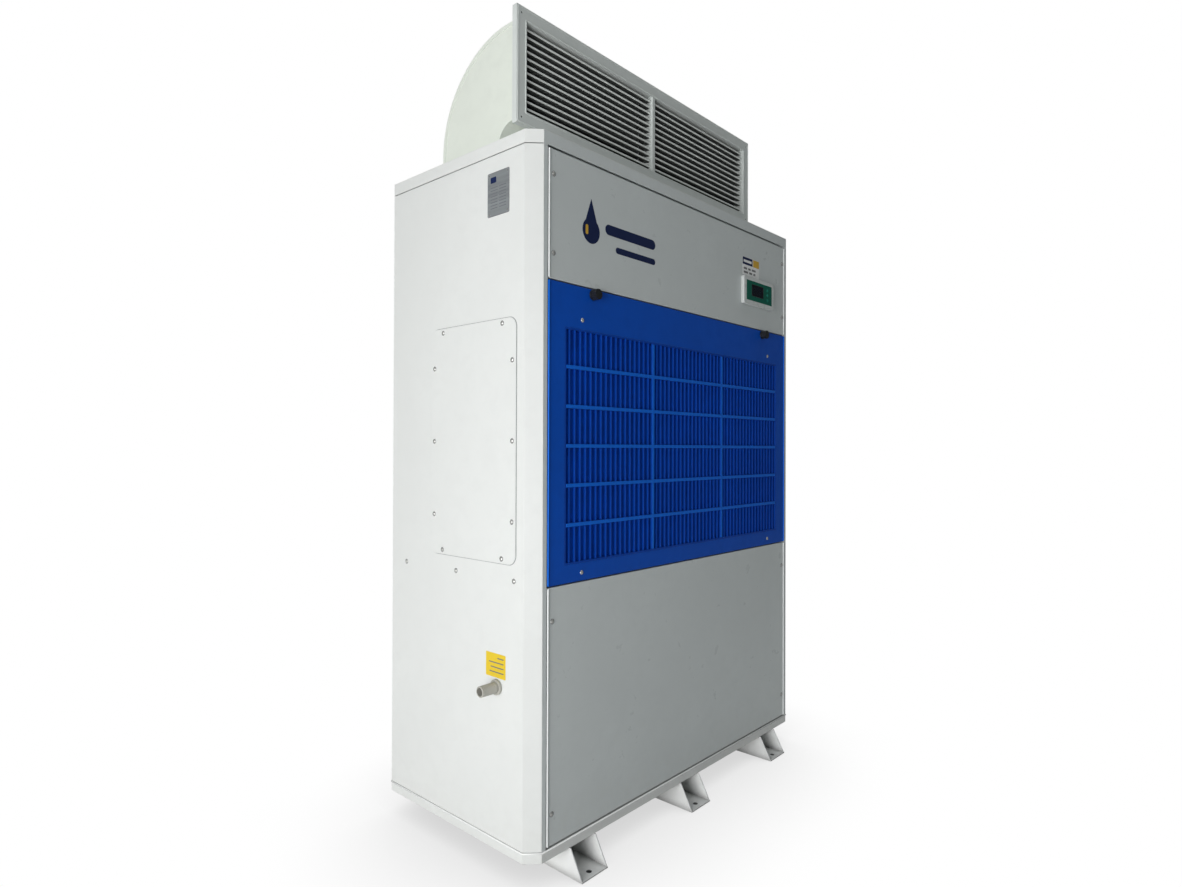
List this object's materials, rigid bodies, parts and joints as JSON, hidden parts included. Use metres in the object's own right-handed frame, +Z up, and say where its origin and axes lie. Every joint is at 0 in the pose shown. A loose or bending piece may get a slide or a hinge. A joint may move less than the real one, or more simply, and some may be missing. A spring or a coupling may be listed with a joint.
{
  "type": "commercial dehumidifier",
  "caption": "Tall floor-standing refrigerant dehumidifier: steel cabinet on channel feet, blue tilting filter panel with inlet grille, and a ducted hood with louvred front discharge.",
  "frame": {"origin": "centre of the whole part's bounding box, on the floor under the feet", "axes": "+Z up, -Y is the front with the filter panel and the discharge grille, +X to the right as seen from the front"},
  "size_m": [1.296, 0.674, 2.084],
  "materials": {
    "white_panel": "smooth semi-gloss powder coat, off-white",
    "grey_front": "smooth semi-gloss powder coat, off-white, a shade cooler than the sides",
    "blue_panel": "semi-gloss deep blue powder coat",
    "hood_white": "semi-gloss powder coat, slightly green off-white",
    "grille_grey": "satin powder coat, off-white",
    "blade_grey": "satin anodised",
    "galvanised": "galvanised sheet",
    "screw_steel": "zinc plated",
    "plate_silver": "brushed",
    "black_plastic": "moulded, fine grain",
    "white_plastic": "moulded, satin gloss",
    "green_plastic": "printed film",
    "display_glass": "dark tinted window",
    "blue_plastic": "moulded, satin",
    "filter_medium": "woven synthetic filter, dark blue",
    "black_paint": "gloss black",
    "rubber": "moulded rubber",
    "coil_fins": "bare fin stock",
    "copper": "drawn copper tube",
    "brass": "turned brass",
    "pvc": "extruded",
    "motor_paint": "satin enamel",
    "steel_shaft": "ground steel"
  },
  "bodies": {
    "cabinet": {"base_frame": "white_panel", "foot_left": "white_panel", "foot_middle": "white_panel", "foot_right": "white_panel", "cabinet_frame": "grey_front", "left_side_panel": "white_panel", "right_side_panel": "white_panel", "rear_panel": "white_panel", "top_cover": "white_panel", "upper_front_panel": "grey_front", "lower_front_panel": "grey_front", "service_cover": "white_panel", "panel_screws": "screw_steel", "nameplate": "plate_silver", "drain_spout": "pvc", "cable_gland": "black_plastic", "discharge_elbow": "hood_white", "grille_frame": "grille_grey", "controller_housing": "white_plastic", "controller_face": "green_plastic", "controller_display": "display_glass", "fan_housing_left": "galvanised", "fan_housing_right": "galvanised", "fan_motor": "motor_paint", "fan_deck": "galvanised", "compressor": "black_paint", "compressor_mounts": "rubber", "evaporator_coil": "coil_fins", "condenser_coil": "coil_fins", "drain_pan": "galvanised", "drain_pipe": "pvc", "refrigerant_pipes": "copper", "filter_drier": "copper", "expansion_valve": "brass", "electrical_box": "galvanised"},
    "filter_door": {"filter_panel": "blue_panel", "inlet_grille": "blue_plastic", "air_filter": "filter_medium", "grille_screws": "screw_steel"},
    "thumbscrew_left": {"thumbscrew_left": "black_plastic"},
    "thumbscrew_right": {"thumbscrew_right": "black_plastic"},
    "fan_rotor": {"fan_impeller_left": "galvanised", "fan_impeller_right": "galvanised", "fan_shaft": "steel_shaft"},
    "button_1": {"button_1": "white_plastic"},
    "button_2": {"button_2": "white_plastic"},
    "button_3": {"button_3": "white_plastic"},
    "tie_bar": {"louvre_tie_bar": "galvanised"},
    "louvre_01": {"louvre_row_01": "blade_grey"},
    "louvre_02": {"louvre_row_02": "blade_grey"},
    "louvre_03": {"louvre_row_03": "blade_grey"},
    "louvre_04": {"louvre_row_04": "blade_grey"},
    "louvre_05": {"louvre_row_05": "blade_grey"},
    "louvre_06": {"louvre_row_06": "blade_grey"},
    "louvre_07": {"louvre_row_07": "blade_grey"},
    "louvre_08": {"louvre_row_08": "blade_grey"},
    "louvre_09": {"louvre_row_09": "blade_grey"},
    "louvre_10": {"louvre_row_10": "blade_grey"},
    "louvre_11": {"louvre_row_11": "blade_grey"},
    "louvre_12": {"louvre_row_12": "blade_grey"}
  },
  "joints": [
    {"name": "filter_tilt", "type": "hinge", "parent": "cabinet", "child": "filter_door", "pos_m": [0.014, -0.29, 0.693], "axis": [1, 0, 0], "range_deg": [0, 30]},
    {"name": "thumbscrew_left_turn", "type": "hinge", "parent": "filter_door", "child": "thumbscrew_left", "pos_m": [-0.399, -0.305, 1.377], "axis": [0, 1, 0], "continuous": true},
    {"name": "thumbscrew_right_turn", "type": "hinge", "parent": "filter_door", "child": "thumbscrew_right", "pos_m": [0.427, -0.305, 1.377], "axis": [0, 1, 0], "continuous": true},
    {"name": "fan_spin", "type": "hinge", "parent": "cabinet", "child": "fan_rotor", "pos_m": [0.014, 0.013, 1.55], "axis": [1, 0, 0], "continuous": true},
    {"name": "button_1_press", "type": "slide", "parent": "cabinet", "child": "button_1", "axis": [0, 1, 0], "range_m": [0, 0.0006], "stiffness_N_per_m": 800, "springref_m": -0.002},
    {"name": "button_2_press", "type": "slide", "parent": "cabinet", "child": "button_2", "axis": [0, 1, 0], "range_m": [0, 0.0006], "stiffness_N_per_m": 800, "springref_m": -0.002},
    {"name": "button_3_press", "type": "slide", "parent": "cabinet", "child": "button_3", "axis": [0, 1, 0], "range_m": [0, 0.0006], "stiffness_N_per_m": 800, "springref_m": -0.002},
    {"name": "louvre_01_tilt", "type": "hinge", "parent": "cabinet", "child": "louvre_01", "pos_m": [0.014, -0.148, 1.84232], "axis": [1, 0, 0], "range_deg": [-40, 40]},
    {"name": "louvre_02_tilt", "type": "hinge", "parent": "cabinet", "child": "louvre_02", "pos_m": [0.014, -0.148, 1.86008], "axis": [1, 0, 0], "range_deg": [-40, 40]},
    {"name": "louvre_03_tilt", "type": "hinge", "parent": "cabinet", "child": "louvre_03", "pos_m": [0.014, -0.148, 1.87784], "axis": [1, 0, 0], "range_deg": [-40, 40]},
    {"name": "louvre_04_tilt", "type": "hinge", "parent": "cabinet", "child": "louvre_04", "pos_m": [0.014, -0.148, 1.8956], "axis": [1, 0, 0], "range_deg": [-40, 40]},
    {"name": "louvre_05_tilt", "type": "hinge", "parent": "cabinet", "child": "louvre_05", "pos_m": [0.014, -0.148, 1.91336], "axis": [1, 0, 0], "range_deg": [-40, 40]},
    {"name": "louvre_06_tilt", "type": "hinge", "parent": "cabinet", "child": "louvre_06", "pos_m": [0.014, -0.148, 1.93112], "axis": [1, 0, 0], "range_deg": [-40, 40]},
    {"name": "louvre_07_tilt", "type": "hinge", "parent": "cabinet", "child": "louvre_07", "pos_m": [0.014, -0.148, 1.94888], "axis": [1, 0, 0], "range_deg": [-40, 40]},
    {"name": "louvre_08_tilt", "type": "hinge", "parent": "cabinet", "child": "louvre_08", "pos_m": [0.014, -0.148, 1.96664], "axis": [1, 0, 0], "range_deg": [-40, 40]},
    {"name": "louvre_09_tilt", "type": "hinge", "parent": "cabinet", "child": "louvre_09", "pos_m": [0.014, -0.148, 1.9844], "axis": [1, 0, 0], "range_deg": [-40, 40]},
    {"name": "louvre_10_tilt", "type": "hinge", "parent": "cabinet", "child": "louvre_10", "pos_m": [0.014, -0.148, 2.00216], "axis": [1, 0, 0], "range_deg": [-40, 40]},
    {"name": "louvre_11_tilt", "type": "hinge", "parent": "cabinet", "child": "louvre_11", "pos_m": [0.014, -0.148, 2.01992], "axis": [1, 0, 0], "range_deg": [-40, 40]},
    {"name": "louvre_12_tilt", "type": "hinge", "parent": "cabinet", "child": "louvre_12", "pos_m": [0.014, -0.148, 2.03768], "axis": [1, 0, 0], "range_deg": [-40, 40]},
    {"name": "tie_bar_pivot", "type": "hinge", "parent": "louvre_01", "child": "tie_bar", "pos_m": [-0.032, -0.14, 1.84232], "axis": [1, 0, 0], "range_deg": [-40, 40]}
  ],
  "couplings": [
    {"joint": "louvre_02_tilt", "follows": "louvre_01_tilt", "ratio": 1},
    {"joint": "louvre_03_tilt", "follows": "louvre_01_tilt", "ratio": 1},
    {"joint": "louvre_04_tilt", "follows": "louvre_01_tilt", "ratio": 1},
    {"joint": "louvre_05_tilt", "follows": "louvre_01_tilt", "ratio": 1},
    {"joint": "louvre_06_tilt", "follows": "louvre_01_tilt", "ratio": 1},
    {"joint": "louvre_07_tilt", "follows": "louvre_01_tilt", "ratio": 1},
    {"joint": "louvre_08_tilt", "follows": "louvre_01_tilt", "ratio": 1},
    {"joint": "louvre_09_tilt", "follows": "louvre_01_tilt", "ratio": 1},
    {"joint": "louvre_10_tilt", "follows": "louvre_01_tilt", "ratio": 1},
    {"joint": "louvre_11_tilt", "follows": "louvre_01_tilt", "ratio": 1},
    {"joint": "louvre_12_tilt", "follows": "louvre_01_tilt", "ratio": 1},
    {"joint": "tie_bar_pivot", "follows": "louvre_01_tilt", "ratio": -1}
  ]
}
